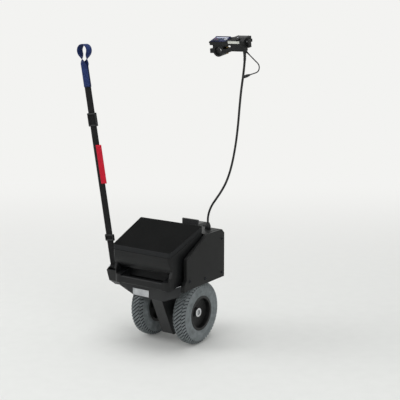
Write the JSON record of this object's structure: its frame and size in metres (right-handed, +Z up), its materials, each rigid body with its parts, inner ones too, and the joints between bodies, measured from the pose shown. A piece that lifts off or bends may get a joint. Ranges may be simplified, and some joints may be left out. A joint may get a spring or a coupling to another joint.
{
  "type": "wheelchair power assist",
  "caption": "Clip-on drive unit with small grey tyres, a lift-off battery pack, a frame hook, a handle control with throttle lever, and a lift strap.",
  "frame": {"origin": "on the axis of the cross tube that the frame hook takes, at the unit's middle plane", "axes": "+X to the user's right along the cross tube, +Y forward, +Z up"},
  "size_m": [0.5864, 0.3055, 0.9357],
  "materials": {
    "black_moulding": "fine moulded grain",
    "bright_plate": "brushed and clear anodised",
    "grey_paint": "satin paint over a sand casting",
    "motor_paint": "semi-gloss paint over rolled steel",
    "cast_cap": "as cast",
    "magnet": "sintered ferrite",
    "brass": "turned",
    "steel": "ground and lightly oiled",
    "cap_chrome": "polished plate",
    "winding": "varnished copper wire on a steel core",
    "seal_rubber": "matt",
    "circuit_board": "solder mask",
    "dark_moulding": "fine moulded grain",
    "rim_moulding": "satin moulded",
    "grey_tyre": "matt moulded block tread",
    "cell_sleeve": "shrink sleeve",
    "control_moulding": "fine moulded grain",
    "fascia_film": "printed film",
    "pale_plate": "gloss",
    "button_cap": "satin",
    "webbing_blue": "woven polyester webbing",
    "webbing_black": "woven polyester webbing",
    "webbing_red": "woven polyester tape",
    "cable_jacket": "smooth extruded jacket"
  },
  "bodies": {
    "drive_unit": {"base_tub": "black_moulding", "front_cover": "black_moulding", "rear_skirt": "black_moulding", "side_panel_left": "black_moulding", "side_panel_right": "black_moulding", "strap_anchor": "black_moulding", "bright_trim": "bright_plate", "gear_case_left": "grey_paint", "gear_case_right": "grey_paint", "frame_hook": "grey_paint", "motor_can": "motor_paint", "motor_end_cap": "cast_cap", "motor_magnets": "magnet", "brush_gear": "brass", "contact_blades": "brass", "clamp_bolts": "brass", "steel_pins": "steel", "case_screws": "steel", "bearings": "steel", "axle_seals": "seal_rubber", "controller_board": "circuit_board", "control_board": "circuit_board", "contact_block": "dark_moulding", "cable_gland": "dark_moulding", "pigtail_connector": "dark_moulding", "strap_sliders": "dark_moulding", "control_base": "control_moulding", "control_top": "control_moulding", "clamp_cap": "control_moulding", "control_fascia": "fascia_film", "display_plate": "pale_plate", "strap_loop": "webbing_blue", "strap_web": "webbing_black", "pull_tab": "webbing_red", "main_cable": "cable_jacket", "pigtail": "cable_jacket"},
    "hook_gate": {"hook_gate": "steel"},
    "motor_rotor": {"motor_shaft": "steel", "armature": "winding"},
    "countershaft": {"countershaft": "steel", "countershaft_gear": "steel"},
    "idler": {"idler_gear": "steel"},
    "wheels": {"axle": "steel", "axle_keys": "steel", "output_gear": "steel", "rim_left": "rim_moulding", "rim_right": "rim_moulding", "tyre_left": "grey_tyre", "tyre_right": "grey_tyre", "hub_caps": "cap_chrome", "axle_nuts": "steel"},
    "battery": {"battery_case": "black_moulding", "battery_lid": "black_moulding", "cells": "cell_sleeve", "cell_holders": "dark_moulding", "battery_board": "circuit_board", "charge_socket": "dark_moulding"},
    "dial": {"speed_dial": "dark_moulding"},
    "button": {"power_button": "button_cap"},
    "throttle": {"throttle_lever": "dark_moulding"}
  },
  "joints": [
    {"name": "drive_axle", "type": "hinge", "parent": "drive_unit", "child": "wheels", "pos_m": [0, -0.115, -0.232], "axis": [1, 0, 0], "continuous": true},
    {"name": "idler_turn", "type": "hinge", "parent": "drive_unit", "child": "idler", "pos_m": [0, -0.13039, -0.15962], "axis": [1, 0, 0], "continuous": true},
    {"name": "countershaft_turn", "type": "hinge", "parent": "drive_unit", "child": "countershaft", "pos_m": [0, -0.11088, -0.13177], "axis": [1, 0, 0], "continuous": true},
    {"name": "motor_turn", "type": "hinge", "parent": "drive_unit", "child": "motor_rotor", "pos_m": [0, -0.07985, -0.08575], "axis": [1, 0, 0], "continuous": true},
    {"name": "battery_lift", "type": "slide", "parent": "drive_unit", "child": "battery", "axis": [0, 0, 1], "range_m": [0, 0.12]},
    {"name": "gate_turn", "type": "hinge", "parent": "drive_unit", "child": "hook_gate", "pos_m": [0, 0.0175, -0.017], "axis": [1, 0, 0], "range_deg": [0, 75], "stiffness_Nm_per_rad": 0.12, "springref_deg": -34.38},
    {"name": "throttle_turn", "type": "hinge", "parent": "drive_unit", "child": "throttle", "pos_m": [0.3125, -0.19922, 0.59267], "axis": [0, -0.9877, -0.1564], "range_deg": [0, 25], "stiffness_Nm_per_rad": 0.03, "springref_deg": -17.19},
    {"name": "dial_turn", "type": "hinge", "parent": "drive_unit", "child": "dial", "pos_m": [0.287, -0.21399, 0.5964], "axis": [0, -0.678, 0.735], "range_deg": [-135, 135]},
    {"name": "button_press", "type": "slide", "parent": "drive_unit", "child": "button", "axis": [0, 0.3391, -0.9407], "range_m": [0, 0.0012], "stiffness_N_per_m": 400, "springref_m": -0.002}
  ],
  "couplings": [
    {"joint": "idler_turn", "follows": "drive_axle", "ratio": -2.7},
    {"joint": "countershaft_turn", "follows": "drive_axle", "ratio": 3.8571},
    {"joint": "motor_turn", "follows": "drive_axle", "ratio": -16.531}
  ]
}
